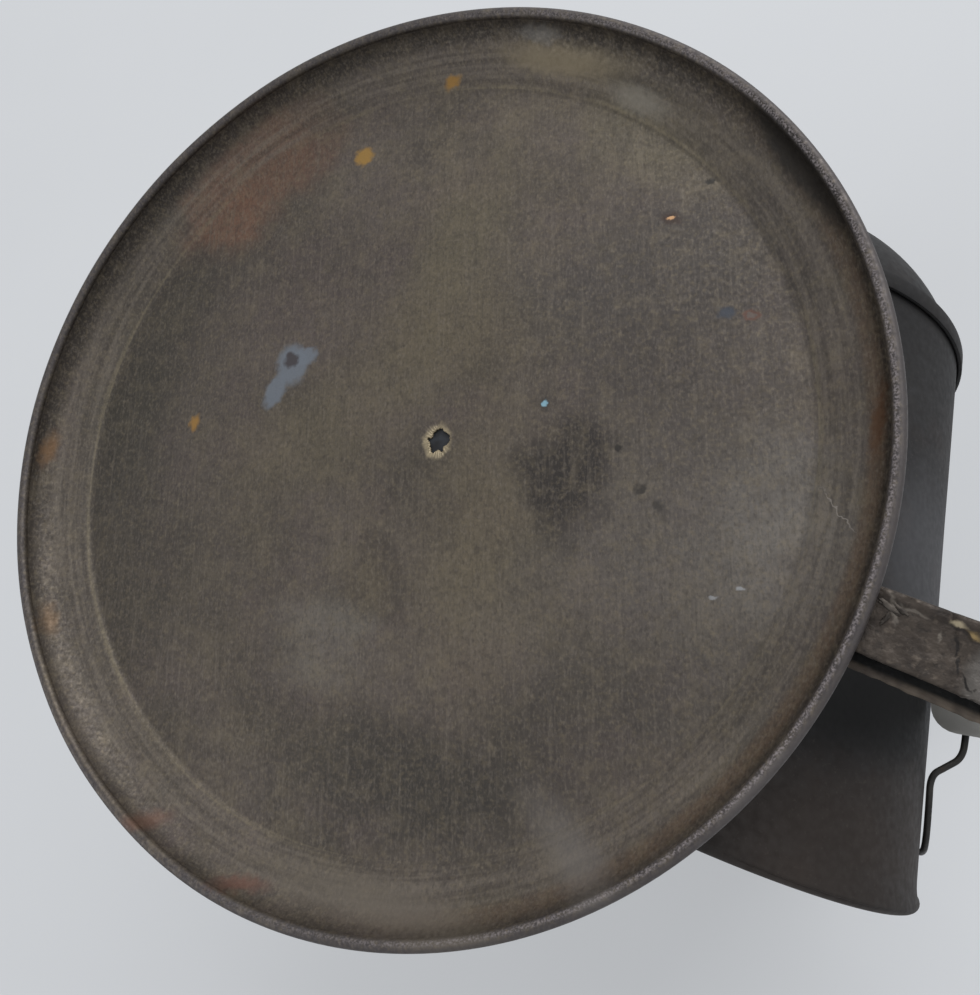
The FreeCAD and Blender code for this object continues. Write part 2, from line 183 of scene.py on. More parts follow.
# Tinplate pan, long out of use: the tin has gone dull and warm grey-brown, so it shines only broadly and its
# colour is in patches, with finger marks, rust, drops of solder and lines left by the spinning lathe.
panStains = [
    # at, half-size, tint, amount, softness, turn
    ((-96.7, 0), (16, 46), "38352f", 0.75, 0.7, 0),
    ((-77, -51.3), (22, 34), "413c36", 0.6, 0.8, -30),
    ((-86.9, 44.4), (14, 34), "3b3731", 0.6, 0.8, 28),
    ((24.5, -86.8), (36, 15), "33302c", 0.8, 0.7, 8),
    ((-3.1, -80.9), (20, 11), "3c3833", 0.6, 0.8, 0),
    ((7.8, 61.1), (13, 30), "675f4b", 0.45, 0.9, -8),
    ((8.8, 32.5), (26, 14), "665c4a", 0.4, 0.9, 10),
    ((-19.8, 4.9), (34, 12), "6c6350", 0.4, 0.9, 35),
    ((30.5, -34.5), (16, 24), "6d6451", 0.42, 0.9, 0),
    ((27.5, -11.8), (11, 26), "665c4b", 0.35, 0.9, 0),
    ((-30.7, -74), (20, 10), "665d4e", 0.35, 0.9, -20),
    ((-43.5, 41.4), (26, 20), "574d4b", 0.45, 0.9, 20),
    ((-18.8, -69), (15, 10), "5c5252", 0.4, 0.9, 0),
    ((102.4, -11.8), (13, 17), "7b7772", 0.55, 0.9, -15),
    ((78.8, -19.7), (30, 34), "5f5b57", 0.45, 0.9, 0),
    ((73.9, 34.5), (30, 34), "3f3a38", 0.65, 0.9, 20),
    ((39.3, 43.4), (20, 14), "44403d", 0.6, 0.8, -20),
    ((55.1, 90.7), (26, 10), "625c4a", 0.4, 0.8, -28),
    ((48.2, -4.9), (11, 16), "2b2725", 0.9, 0.4, 6),
    ((1.9, -37.5), (8.5, 13.5), "48413b", 0.8, 0.3, 8),
    ((0.4, -38.5), (5, 8), "62594a", 0.6, 0.6, 8),
    ((4.8, -94.7), (12, 7), "413c37", 0.55, 0.5, 15),
    ((-67.1, 82.8), (15, 27), "6a4f40", 0.75, 0.55, -42),
    ((-79, 71), (9, 12), "6f5141", 0.6, 0.5, -42),
    ((-30, -76), (17, 11), "3d3833", 0.6, 0.8, -20),
    ((-9, -55), (14, 9), "757068", 0.5, 0.8, 0),
    ((66, -59), (20, 12), "413c38", 0.6, 0.8, 30),
    ((69, 57), (22, 17), "433f3c", 0.6, 0.8, 0),
]
# small marks on the pan: stains, rust and solder, and a few painted light and shade, each noted where it stands
panMarksAndPaintedLight = [
    ((-32.1, 88.9), (2.9, 2.9), "93733c", 0.95, 0.35, 0),
    ((-5.7, 111), (2.6, 1.6), "8d6a34", 0.9, 0.5, 20),
    ((-72, 0.4), (1.7, 2.3), "94703a", 0.9, 0.5, -20),
    ((-41.1, 20.9), (5.0, 6.2), "6c727a", 0.9, 0.3, 20),
    ((-37.2, 23.3), (4.2, 2.6), "6c727a", 0.9, 0.3, 20),
    ((-44.9, 12.4), (3.2, 5.6), "6c727a", 0.9, 0.3, -18),
    ((-42, 22), (2.3, 2.5), "3f393a", 0.9, 0.3, 0),
    # painted light: the light that shows through a pinhole, as a bluish-white dot
    ((40.1, 13.7), (0.55, 0.8), "a9dcf0", 1.0, 0.5, 0),
    ((40.1, 13.7), (1.6, 1.9), "2c2a28", 0.5, 0.5, 0),
    ((83.3, 40.1), (1.9, 1.6), "3b3f47", 0.9, 0.4, 0),
    ((89.6, 39.4), (1.7, 1.6), "5a3f35", 0.75, 0.3, 0),
    ((89.6, 39.4), (0.9, 0.9), "5b524d", 0.9, 0.3, 0),
    ((65.9, 66), (2.6, 1.7), "3b2f2a", 0.85, 0.5, -10),
    ((65.9, 66), (1.2, 0.35), "c39a72", 0.9, 0.5, 18),
    ((74.8, 75.9), (0.9, 0.8), "2f2d2b", 0.85, 0.4, 0),
    ((68.6, -7), (1.6, 1.2), "2f2c2a", 0.8, 0.4, 30),
    ((73.4, -10.4), (1.2, 0.9), "35322f", 0.7, 0.5, 0),
    ((95.2, -27.7), (0.8, 0.6), "96989b", 0.7, 0.5, 0),
    ((89.2, -30.7), (0.9, 0.5), "96989b", 0.6, 0.5, 20),
    ((61.6, 3.2), (0.9, 0.9), "2b2826", 0.9, 0.4, 0),
    ((-120.4, -14), (1.5, 5.0), "6b4f33", 0.7, 0.8, 0),
    ((-101.8, -65.5), (1.6, 4.5), "665038", 0.6, 0.8, 30),
    ((-49, -112.2), (5.0, 2.0), "64483b", 0.65, 0.8, 20),
    ((-16, -120.2), (6.0, 1.5), "67453a", 0.65, 0.8, 8),
    ((120.8, 12), (1.3, 8.0), "4e3119", 0.7, 0.7, 0),
    ((28.7, 112.8), (17, 3.4), "7d725d", 0.75, 0.7, -14),
    ((28.7, -116), (34, 4.5), "6b6359", 0.6, 0.7, 0),
    ((70, -96), (18, 5.0), "6f6a66", 0.5, 0.8, -36),
    ((114.2, -7.9), (6.0, 0.16), "8f8881", 0.6, 0.5, -50),
    ((53, 99.5), (8.0, 2.6), "7f7a70", 0.6, 0.7, -28),
    ((22, 119.6), (6.0, 1.6), "6d6a66", 0.6, 0.7, -10),
    # painted shade: a near-black streak along the hollow at the far right, where its wall faces away from the
    # light
    ((97.3, 74.4), (2.8, 22), "1a1714", 0.85, 0.5, 37),
    # painted highlight: a pale streak where the outer edge of the curl catches the light at the near right
    ((105.8, -71.1), (2.2, 30), "6a6563", 0.7, 0.5, -34),
]
panHole = ((11.4, 1.1), (3.9, 4.6), "9d9076", 0.85, 0.25, 0)


def makePanTin():
    material, tree, shader, coords = startMaterial("tarnished tinplate", 0.55, 0.55)
    wander = addWander(tree, coords, 16, 4.0, 26)
    ragged = addWander(tree, coords, 2.2, 3.0, 3.2)

    level = addNode(tree, "ShaderNodeVectorMath", {0: coords, 1: (1, 1, 0)}, operation="MULTIPLY")
    reach = addNode(tree, "ShaderNodeVectorMath", {0: level.outputs[0]}, operation="LENGTH")
    radius = reach.outputs["Value"]
    heading = addNode(tree, "ShaderNodeVectorMath", {0: level.outputs[0]}, operation="NORMALIZE")
    along = addNode(tree, "ShaderNodeVectorMath", {0: heading.outputs[0], "Scale": 2.6}, operation="SCALE")
    ringAcross = addNode(tree, "ShaderNodeMath", {0: radius, 1: 1 / 1.3}, operation="MULTIPLY")
    upright = addNode(tree, "ShaderNodeCombineXYZ", {"Z": ringAcross.outputs[0]})
    ringPlace = addNode(tree, "ShaderNodeVectorMath", {
        0: along.outputs[0], 1: upright.outputs[0]}, operation="ADD")
    streaks = addNode(tree, "ShaderNodeTexNoise", {
        "Vector": ringPlace.outputs[0], "Scale": 1.0, "Detail": 4.0})
    streak = addNode(tree, "ShaderNodeMapRange", {
        "Value": streaks.outputs[0], "From Min": 0.42, "From Max": 0.66}).outputs[0]
    gap = addNode(tree, "ShaderNodeMapRange", {
        "Value": streaks.outputs[0], "From Min": 0.52, "From Max": 0.34}).outputs[0]
    sides = addNode(tree, "ShaderNodeSeparateXYZ", {0: heading.outputs[0]})
    # painted light: highest on the right, the handle's side, where the curl catches the light
    litRight = addNode(tree, "ShaderNodeMapRange", {
        "Value": sides.outputs[0], "From Min": -0.3, "From Max": 0.85, "To Min": 0.12}).outputs[0]
    # painted shade: full on the far side and the flanks, where the hollow's wall faces away from the light, little
    # on the near side
    farSideShade = addNode(tree, "ShaderNodeMapRange", {
        "Value": sides.outputs[1], "From Min": -0.75, "From Max": -0.1, "To Min": 0.1}).outputs[0]
    toHandle = addNode(tree, "ShaderNodeVectorMath", {
        0: heading.outputs[0], 1: (0.94, -0.34, 0)}, operation="DOT_PRODUCT").outputs["Value"]
    rusty = addNode(tree, "ShaderNodeMapRange", {
        "Value": toHandle, "From Min": 0.3, "From Max": 0.85, "To Max": 1.0}).outputs[0]

    colour = addMottle(tree, coords, linear("464039"), "58504a", 34, 0.36, 0.64, 1.0)
    colour = addMottle(tree, coords, colour, "655c4e", 13, 0.5, 0.72, 0.6)
    colour = addMottle(tree, coords, colour, "544a48", 21, 0.5, 0.68, 0.5)
    for stain in panStains:
        colour = addStain(tree, wander, colour, stain)
    # sloping ring with marks that run round it, its worn step, and the brown hollow under the curl, darkened
    # towards the far side by painted shade
    colour = addBand(tree, radius, streak, colour, "6b635a", 109.5, 111.0, 117.5, 120.0, 0.6)
    colour = addBand(tree, radius, gap, colour, "433d37", 109.5, 111.0, 117.5, 120.0, 0.55)
    colour = addBand(tree, radius, streak, colour, "7d735e", 108.4, 109.0, 109.4, 110.2, 0.55)
    # the hollow's own brown, made darker by painted shade away from the near side
    colour = addBand(tree, radius, farSideShade, colour, "2c2620", 118.6, 121.2, 123.6, 124.6, 0.9)
    colour = addBand(tree, radius, rusty, colour, "5f4f41", 118.6, 120.2, 122.0, 123.4, 0.75)
    colour = addBand(tree, radius, 1.0, colour, "433f40", 123.7, 124.2, 128.0, 129.0, 0.9)
    # rubbing down the floor left fine lines, drawn twice as wide as real so that they show
    colour = addMottle(tree, coords, colour, "756c61", 0.9, 0.52, 0.8, 0.35, 3.0, (1, 0.04, 1), 0.19)
    colour = addMottle(tree, coords, colour, "35302c", 0.8, 0.52, 0.8, 0.35, 3.0, (1, 0.05, 1), 0.19)
    colour = addMottle(tree, coords, colour, "7c705b", 1.1, 0.5, 0.86, 0.5, 6.0)
    colour = addMottle(tree, coords, colour, "2e2a27", 1.3, 0.52, 0.86, 0.55, 5.0)
    colour = addMottle(tree, coords, colour, "6d6352", 4.5, 0.5, 0.74, 0.35, 6.0)
    colour = addMottle(tree, coords, colour, "3a3532", 3.6, 0.5, 0.74, 0.35, 6.0)
    colour = addMottle(tree, coords, colour, "7d746a", 0.6, 0.5, 0.8, 0.38, 2.0, (1, 0.5, 1), 0.19)
    colour = addMottle(tree, coords, colour, "2e2a27", 0.7, 0.5, 0.8, 0.45, 2.0, (1, 0.5, 1), 0.19)
    for mark in panMarksAndPaintedLight:
        colour = addStain(tree, ragged, colour, mark)
    # worn bright grains along the curl, shown as painted highlight: most of them on the right, the handle's side,
    # where the curl catches the light
    worn = addNode(tree, "ShaderNodeTexNoise", {"Vector": coords, "Scale": 1 / 0.5, "Detail": 3.0})
    grains = addNode(tree, "ShaderNodeMapRange", {
        "Value": worn.outputs[0], "From Min": 0.42, "From Max": 0.64}).outputs[0]
    wornGlints = addNode(tree, "ShaderNodeMath", {0: grains, 1: litRight}, operation="MULTIPLY").outputs[0]
    colour = addBand(tree, radius, wornGlints, colour, "968e8f", 124.0, 124.5, 124.9, 125.6, 0.75)
    # painted highlight: the outer side of the curl lighter on the right, where it catches the light
    colour = addBand(tree, radius, litRight, colour, "5a5555", 125.5, 126.1, 128.0, 129.0, 0.7)
    colour = addStain(tree, ragged, colour, panHole)
    addTooth(tree, coords, shader, colour, 1.2, 0.05, 0.42, 0.66)
    return material


# Handle tin: the same sheet, handled until it pitted, with a grey skin of old solder past a crack.
handleMarks = [
    ((127.4, -28.6), (0.5, 3.0), "7a736b", 0.7, 0.6, 12),
    ((131.4, -28.2), (2.6, 0.4), "7a736b", 0.6, 0.6, -24),
    ((136.4, -33.0), (0.3, 0.9), "7a736a", 0.6, 0.6, -8),
    ((146.8, -40.2), (5.0, 7.2), "5f5b57", 0.85, 0.3, -15),
    ((139.7, -29.9), (1.3, 0.7), "a79b82", 0.85, 0.6, -15),
    ((142.5, -31.7), (1.4, 0.8), "8f7a52", 0.8, 0.6, -15),
    ((140.7, -31.5), (3.4, 0.5), "1d1714", 0.9, 0.5, -30),
    ((139.9, -34.4), (0.3, 2.2), "15110f", 0.95, 0.5, 12),
    ((140.4, -38.2), (0.3, 2.2), "15110f", 0.95, 0.5, -14),
    ((142.0, -41.6), (0.3, 2.0), "15110f", 0.95, 0.5, 32),
]


def makeHandleTin():
    material, tree, shader, coords = startMaterial("pitted tinplate", 0.5, 0.55)
    ragged = addWander(tree, coords, 3.0, 4.0, 3)
    colour = addMottle(tree, coords, linear("302924"), "463e37", 7, 0.36, 0.66, 1.0)
    colour = addMottle(tree, coords, colour, "241f1c", 2.4, 0.54, 0.7, 0.7, 5.0)
    colour = addMottle(tree, coords, colour, "665c52", 1.5, 0.58, 0.72, 0.5, 5.0)
    for mark in handleMarks:
        colour = addStain(tree, ragged, colour, mark)
    colour = addMottle(tree, coords, colour, "231f1c", 1.1, 0.62, 0.7, 0.7, 3.0)
    addTooth(tree, coords, shader, colour, 1.0, 0.18, 0.42, 0.7)
    return material


# Sole of the handle: painted shadow makes it black where the top plate covers it; brown and rubbed along its free
# edge.
def makeSoleTin():
    material, tree, shader, coords = startMaterial("tinplate with painted shadow", 0.4, 0.6)
    lying = addNode(tree, "ShaderNodeMapping", {
        "Vector": coords, "Rotation": (0, 0, math.radians(-14.8))}, vector_type="TEXTURE")
    across = addNode(tree, "ShaderNodeSeparateXYZ", {0: lying.outputs[0]}).outputs[1]
    outOfShadow = addNode(tree, "ShaderNodeMapRange", {
        "Value": across, "From Min": -7.4, "From Max": -8.8}, interpolation_type="SMOOTHSTEP")
    brown = addMottle(tree, coords, linear("5a5149"), "85796c", 4, 0.36, 0.66, 1.0)
    # painted shadow: near-black where the top plate shades the sole, its own brown only along the free edge
    mix = addNode(tree, "ShaderNodeMix", {
        0: outOfShadow.outputs[0], 6: linear("080706"), 7: brown}, data_type="RGBA")
    addTooth(tree, coords, shader, mix.outputs[2], 1.0, 0.12, 0.5, 0.75)
    return material


# Barrel tin: darker and bluer, smoother, with a soft dull sheen, painted shadow under the handle and a browner
# mouth.
barrelStainsAndShadow = [
    ((122, -84), (30, 20), "463d37", 0.55, 0.7, 0),
    # painted shadow: these two are near-black where the handle and the pan shade the barrel
    ((126, -46), (24, 15), "030303", 1.0, 0.6, 0),
    ((137, -47), (8, 13), "0a0a0b", 0.7, 0.7, 0),
    ((128, 76), (40, 34), "1c1b1b", 0.6, 0.7, 0),
    ((136, -4), (10, 22), "57575a", 0.6, 0.7, 0),
]


def makeBarrelTin():
    material, tree, shader, coords = startMaterial("dark blue-grey tinplate", 0.4, 0.5)
    colour = addMottle(tree, coords, linear("201f20"), "2f2d2d", 40, 0.36, 0.66, 1.0)
    colour = addMottle(tree, coords, colour, "352c27", 16, 0.5, 0.72, 0.5)
    colour = addMottle(tree, coords, colour, "3f4043", 6, 0.56, 0.76, 0.35)
    colour = addMottle(tree, coords, colour, "57524d", 1.0, 0.6, 0.76, 0.5, 5.0)
    for stain in barrelStainsAndShadow:
        colour = addStain(tree, coords, colour, stain)
    addTooth(tree, coords, shader, colour, 2.2, 0.03, 0.6, 0.78)
    return material


# Stand tin: heavier plate, greyer, scuffed and speckled with rust.
def makeStandTin():
    material, tree, shader, coords = startMaterial("worn tinplate", 0.6, 0.5)
    colour = addMottle(tree, coords, linear("46423e"), "5f5b57", 24, 0.36, 0.66, 1.0)
    colour = addMottle(tree, coords, colour, "5d4a3c", 9, 0.58, 0.74, 0.6)
    colour = addMottle(tree, coords, colour, "7d7973", 1.4, 0.6, 0.76, 0.5, 5.0)
    addTooth(tree, coords, shader, colour, 1.6, 0.06, 0.4, 0.62)
    return material


# Strap tin: painted light, a near-white tone that shows it pale and lit although the handle shades it.
def makeStrapTin():
    material, tree, shader, coords = startMaterial("pale tinplate", 0.3, 0.5)
    colour = addMottle(tree, coords, linear("8d8b88"), "aaa9a6", 6, 0.36, 0.66, 1.0)
    colour = addMottle(tree, coords, colour, "4f4b46", 2.2, 0.58, 0.74, 0.6, 5.0)
    colour = addStain(tree, coords, colour, ((151, -48), (10, 8), "c9c8c4", 0.85, 0.5, 0))  # painted light: a paler patch on the foot
    addTooth(tree, coords, shader, colour, 1.2, 0.05, 0.34, 0.56)
    return material


# Iron: nearly black skin with grey rubbed spots and a little brown.
def makeIron():
    material, tree, shader, coords = startMaterial("dull wrought iron", 0.6, 0.5)
    colour = addMottle(tree, coords, linear("2b2a29"), "403e3b", 8, 0.36, 0.66, 1.0)
    colour = addMottle(tree, coords, colour, "4b3a2d", 4, 0.58, 0.72, 0.5)
    colour = addMottle(tree, coords, colour, "6d6a65", 1.2, 0.64, 0.76, 0.5, 5.0)
    addTooth(tree, coords, shader, colour, 1.3, 0.08, 0.4, 0.62)
    return material


# Brass: yellow metal gone brown in the hollows.
def makeBrass():
    material, tree, shader, coords = startMaterial("dull brass", 1.0, 0.4)
    colour = addMottle(tree, coords, linear("7a5f34"), "a3854f", 5, 0.36, 0.66, 1.0)
    colour = addMottle(tree, coords, colour, "4a3a26", 1.8, 0.56, 0.72, 0.6, 5.0)
    addTooth(tree, coords, shader, colour, 1.0, 0.03, 0.3, 0.52)
    return material


# Solder: soft grey lead and tin, smeared and matt.
def makeSolder():
    material, tree, shader, coords = startMaterial("soft solder", 0.7, 0.5)
    colour = addMottle(tree, coords, linear("332e2a"), "544e48", 2.2, 0.36, 0.66, 1.0)
    colour = addMottle(tree, coords, colour, "3c3835", 1.0, 0.56, 0.7, 0.7, 5.0)
    addTooth(tree, coords, shader, colour, 0.9, 0.1, 0.4, 0.62)
    return material


# Beech: turned, oiled by the hand, with grain along the grip.
def makeBeech():
    material, tree, shader, coords = startMaterial("turned beech", 0.0, 0.45)
    colour = addMottle(tree, coords, linear("7a5433"), "94683f", 12, 0.36, 0.66, 1.0)
    colour = addMottle(tree, coords, colour, "5a3b23", 1.4, 0.52, 0.7, 0.7, 4.0, (1, 0.06, 1))
    colour = addMottle(tree, coords, colour, "3b2818", 5, 0.58, 0.76, 0.5)
    addTooth(tree, coords, shader, colour, 1.0, 0.05, 0.36, 0.56)
    return material


# Shade-dark tin: painted shade, nearly black so that it shows as dark as shade through the torn hole.
def makeShadeDarkTin():
    material, tree, shader, coords = startMaterial("tinplate painted dark as shade", 0.4, 0.6)
    colour = addMottle(tree, coords, linear("17181a"), "2b2e33", 3, 0.36, 0.66, 1.0)
    addTooth(tree, coords, shader, colour, 1.2, 0.05, 0.5, 0.7)
    return material


panTin = makePanTin()
handleTin = makeHandleTin()
soleTin = makeSoleTin()
barrelTin = makeBarrelTin()
standTin = makeStandTin()
strapTin = makeStrapTin()
iron = makeIron()
brass = makeBrass()
solder = makeSolder()
beech = makeBeech()
slotFinish = {
    "pan_tin": panTin, "handle_tin": handleTin, "barrel_tin": barrelTin, "stand_tin": standTin,
    "strap_tin": strapTin, "iron": iron, "bush_brass": brass, "solder": solder, "knob_wood": beech,
}
for subpart in frame["record"]["subparts"]:
    slots = nodes[subpart["node"]].data.materials
    slots.clear()
    slots.append(slotFinish[subpart["material_slot"]])
# painted shade: the socket under the torn hole is made nearly black
nodes["pan_socket"].data.materials[0] = makeShadeDarkTin()
print("materials on", len(nodes), "nodes")

# Pan: one sheet spun from its hole to its curl, then dented and torn
pan = dict(
    rimHeight=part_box("pan_body")[1].z - 1.6 * mm, curlRing=125.4, depth=10.5,
    floorRings=(3.0, 3.5, 4.3, 5.6, 8, 12, 17, 24, 33, 43, 54, 65, 76, 86, 95, 102, 106),
    flat=108.3, step=(110.0, 9.5), slope=(119.6, 5.2), wall=(123.86, 0.5), corner=0.8, hollow=2.6, sheet=0.6,
    turns=288, curlTurns=18, curlSweep=290, hole=(11.4, 1.1), pull=58.0, wire=0.9,
    dent=-0.7, dentAt=232, dentWidth=0.42, lift=0.1, buckle=0.55, buckleSize=38,
)


def dentPan(point):  # the pan isn't round or flat any more: point in mm from the pan's middle, at rim height
    angle = math.atan2(point.y, point.x)
    outer = ease(math.hypot(point.x, point.y), 70, 124)
    away = math.remainder(angle - math.radians(pan["dentAt"]), math.tau)
    dent = pan["dent"] * math.exp(-(away / pan["dentWidth"]) ** 2) * outer
    radial = Vector((math.cos(angle), math.sin(angle), 0))
    lift = pan["lift"] * math.sin(2 * angle + 0.7) * outer
    wave = noise.noise(Vector((point.x, point.y, 3.0)) / pan["buckleSize"])
    buckle = pan["buckle"] * wave * (1 - 0.6 * outer)
    return point + radial * dent + Vector((0, 0, lift + buckle))


def makePan():
    bm = bmesh.new()
    corners = [(r, -pan["depth"]) for r in pan["floorRings"]]
    corners.append((pan["flat"], -pan["depth"]))
    corners += [(r, -depth) for r, depth in (pan["step"], pan["slope"], pan["wall"])]
    verts = [bm.verts.new((r, 0, z)) for r, z in corners]
    for first, second in zip(verts, verts[1:]):
        bm.edges.new((first, second))
    stepVerts = verts[len(pan["floorRings"]):-2]
    hollowVerts = verts[-2:-1]
    for bent, size in ((stepVerts, pan["corner"]), (hollowVerts, pan["hollow"])):
        bmesh.ops.bevel(
            bm, geom=bent, offset=size, offset_type="OFFSET", segments=5, profile=0.5, affect="VERTICES",
            material=-1)
    lip = max(bm.verts, key=lambda vert: vert.co.x)
    curlMiddle = Vector((pan["curlRing"], 0, 0))
    bmesh.ops.spin(
        bm, geom=[lip], cent=curlMiddle, axis=(0, 1, 0), angle=math.radians(pan["curlSweep"]),
        steps=pan["curlTurns"])
    bmesh.ops.spin(
        bm, geom=bm.verts[:] + bm.edges[:], cent=(0, 0, 0), axis=(0, 0, 1), angle=math.tau,
        steps=pan["turns"], use_merge=True)
    faceOutwards(bm, Vector((60, 0, -pan["depth"])), Vector((0, 0, 1)))
    hole = Vector((*pan["hole"], 0))
    for vert in bm.verts:
        reach = math.hypot(vert.co.x, vert.co.y)
        if reach < pan["pull"]:
            angle = math.atan2(vert.co.y, vert.co.x)
            torn = 1 - ease(reach, 3.0, 5.6)
            jag = noise.noise(Vector((2.2 * math.cos(angle), 2.2 * math.sin(angle), 0.4)))
            fine = noise.noise(Vector((9 * math.cos(angle), 9 * math.sin(angle), 2.0)))
            vert.co *= 1 + torn * (0.34 * jag + 0.16 * fine)
            vert.co.y += torn * 0.8 * max(math.sin(angle), 0) ** 3
            vert.co.z = -pan["depth"] + torn * (0.35 * fine - 0.25)
            vert.co += hole * (1 - ease(reach, 3.0, pan["pull"]))
    for vert in bm.verts:
        vert.co = dentPan(vert.co)
    place = Matrix.Translation((0, 0, pan["rimHeight"])) @ Matrix.Scale(mm, 4)
    bmesh.ops.transform(bm, matrix=place, verts=bm.verts)
    piece = finishPiece(bm, "pan", "pan", panTin, ["pan_body"], 60)
    giveWall(piece, pan["sheet"] * mm)


def makeRimWire():
    bm = bmesh.new()
    ring = bmesh.ops.create_circle(bm, segments=14, radius=pan["wire"])
    turn = Matrix.Translation((pan["curlRing"], 0, 0)) @ Matrix.Rotation(math.pi / 2, 4, "X")
    bmesh.ops.transform(bm, matrix=turn, verts=ring["verts"])
    bmesh.ops.spin(
        bm, geom=bm.verts[:] + bm.edges[:], cent=(0, 0, 0), axis=(0, 0, 1), angle=math.tau, steps=180,
        use_merge=True)
    bmesh.ops.remove_doubles(bm, verts=bm.verts, dist=0.01)
    bmesh.ops.recalc_face_normals(bm, faces=bm.faces)
    for vert in bm.verts:
        vert.co = dentPan(vert.co)
    place = Matrix.Translation((0, 0, pan["rimHeight"])) @ Matrix.Scale(mm, 4)
    bmesh.ops.transform(bm, matrix=place, verts=bm.verts)
    finishPiece(bm, "rimWire", "pan", panTin, ["pan_rim_wire"])


makePan()
makeRimWire()

# Handle: folded top plate with a hem, a sole below it and smeared solder; x runs out from the pan's middle
handle = dict(
    turn=-14.8, root=123.2, reach=239.2, rootHalf=7.3, tipHalf=8.6, drop=3.4, side=9.0, openTo=153.0,
    cells=(150, 26), sheet=0.8, hem=1.9, hemRise=0.45, shift=1.0, crackAt=145.2, crackSlant=-0.55, lip=3.2,
    crackDepth=0.5, crackHalf=0.55, curlUp=0.16, sag=0.35, solderRise=0.16, solderTurn=-0.35,
    solder=((129.6, 4.0, 2.4, 0.6), (132.0, 4.4, 1.9, 0.4), (129.8, 1.4, 0.4, 1.4)),
)
handlePlace = (
    Matrix.Translation((0, 0, pan["rimHeight"])) @ Matrix.Rotation(math.radians(handle["turn"]), 4, "Z")
    @ Matrix.Scale(mm, 4) @ Matrix.Translation((0, handle["shift"], 0)))


# a strip with a rounded tip, as a grid in mm: nearLip widens it on its near side
def layHandleStrip(bm, height, nearLip):
    along, across = handle["cells"]
    grid = bmesh.ops.create_grid(bm, x_segments=along, y_segments=across, size=1.0)
    for vert in grid["verts"]:
        share = (vert.co.x + 1) / 2
        side = vert.co.y
        tipStart = handle["reach"] - handle["tipHalf"]
        half = handle["rootHalf"] + (handle["tipHalf"] - handle["rootHalf"]) * share
        y = side * half - (nearLip if side < 0 else 0.0) * max(-side, 0.0)
        start = math.sqrt(handle["root"] ** 2 - y * y)
        end = tipStart + handle["tipHalf"] * math.sqrt(max(1 - side * side, 0.0))
        vert.co = Vector((start + (end - start) * share, y, height))
    return grid["verts"]


def makeHandleTop():
    bm = bmesh.new()
    layHandleStrip(bm, -handle["drop"], 0.0)
    for vert in bm.verts:
        x, y = vert.co.x, vert.co.y
        half = handle["rootHalf"] + (handle["tipHalf"] - handle["rootHalf"]) * (x - handle["root"]) / 117
        hem = ease(y, half - handle["hem"] - 0.35, half - handle["hem"])
        vert.co.z += handle["hemRise"] * hem * (0.75 + 0.5 * noise.noise(Vector((x / 5, 1, 0))))
        wiggle = 1.6 * noise.noise(Vector((y / 2.6, 7, 0))) + 0.5 * noise.noise(Vector((y / 0.9, 3, 1)))
        crack = x - handle["crackAt"] - handle["crackSlant"] * y - wiggle
        vert.co.z -= handle["crackDepth"] * math.exp(-(crack / handle["crackHalf"]) ** 2)
        vert.co.z += handle["curlUp"] * ease(crack, 0, 1.2) * (1 - ease(x, 153, 157))
        vert.co.z += 0.14 * noise.noise(Vector((x, y, 0)) / 2.1) + 0.1 * noise.noise(Vector((x, y, 5)) / 0.9)
        vert.co.z -= handle["sag"] * math.exp(-(y / 4.5) ** 2)
    root = handle["root"] + 0.4
    rims = [edge for edge in bm.edges if edge.is_boundary]
    sides = [
        edge for edge in rims
        if min(vert.co.x for vert in edge.verts) > root
        and (edge.verts[0].co.y > 0 or min(vert.co.x for vert in edge.verts) > handle["openTo"])]
    for down, out in ((0.3, 0.22), (0.5, 0.12), (handle["side"] - 1.4, 0.0)):
        grown = bmesh.ops.extrude_edge_only(bm, edges=sides)["geom"]
        sides = [item for item in grown if isinstance(item, bmesh.types.BMEdge) and item.is_boundary]
        edgeVerts = [item for item in grown if isinstance(item, bmesh.types.BMVert)]
        middle = Vector((handle["reach"] - handle["tipHalf"], 0, 0))
        for vert in edgeVerts:
            push = vert.co - middle
            push = Vector((max(push.x, 0), push.y, 0)).normalized()
            vert.co += push * out - Vector((0, 0, down))
        sides = [edge for edge in sides if all(vert in edgeVerts for vert in edge.verts)]
    faceOutwards(bm, Vector((180, 0, -handle["drop"])), Vector((0, 0, 1)))
    bmesh.ops.transform(bm, matrix=handlePlace, verts=bm.verts)
    piece = finishPiece(bm, "handleTop", "pan", handleTin, ["handle_top"], 55)
    giveWall(piece, handle["sheet"] * mm)


def makeHandleSole():
    bm = bmesh.new()
    layHandleStrip(bm, -handle["drop"] - handle["side"], handle["lip"])
    for vert in bm.verts:
        x, y = vert.co.x, vert.co.y
        vert.co.z += 0.2 * noise.noise(Vector((x, y, 2)) / 4)
        nearEdge = ease(-y, 8.6, 11.5)
        vert.co.z -= 0.3 * nearEdge
        vert.co.y += 0.5 * nearEdge * noise.noise(Vector((x / 3.0, 4, 4)))
    faceOutwards(bm, Vector((180, 0, -12)), Vector((0, 0, 1)))
    bmesh.ops.transform(bm, matrix=handlePlace, verts=bm.verts)
    piece = finishPiece(bm, "handleSole", "pan", soleTin, ["handle_sole"], 55)
    giveWall(piece, handle["sheet"] * mm)


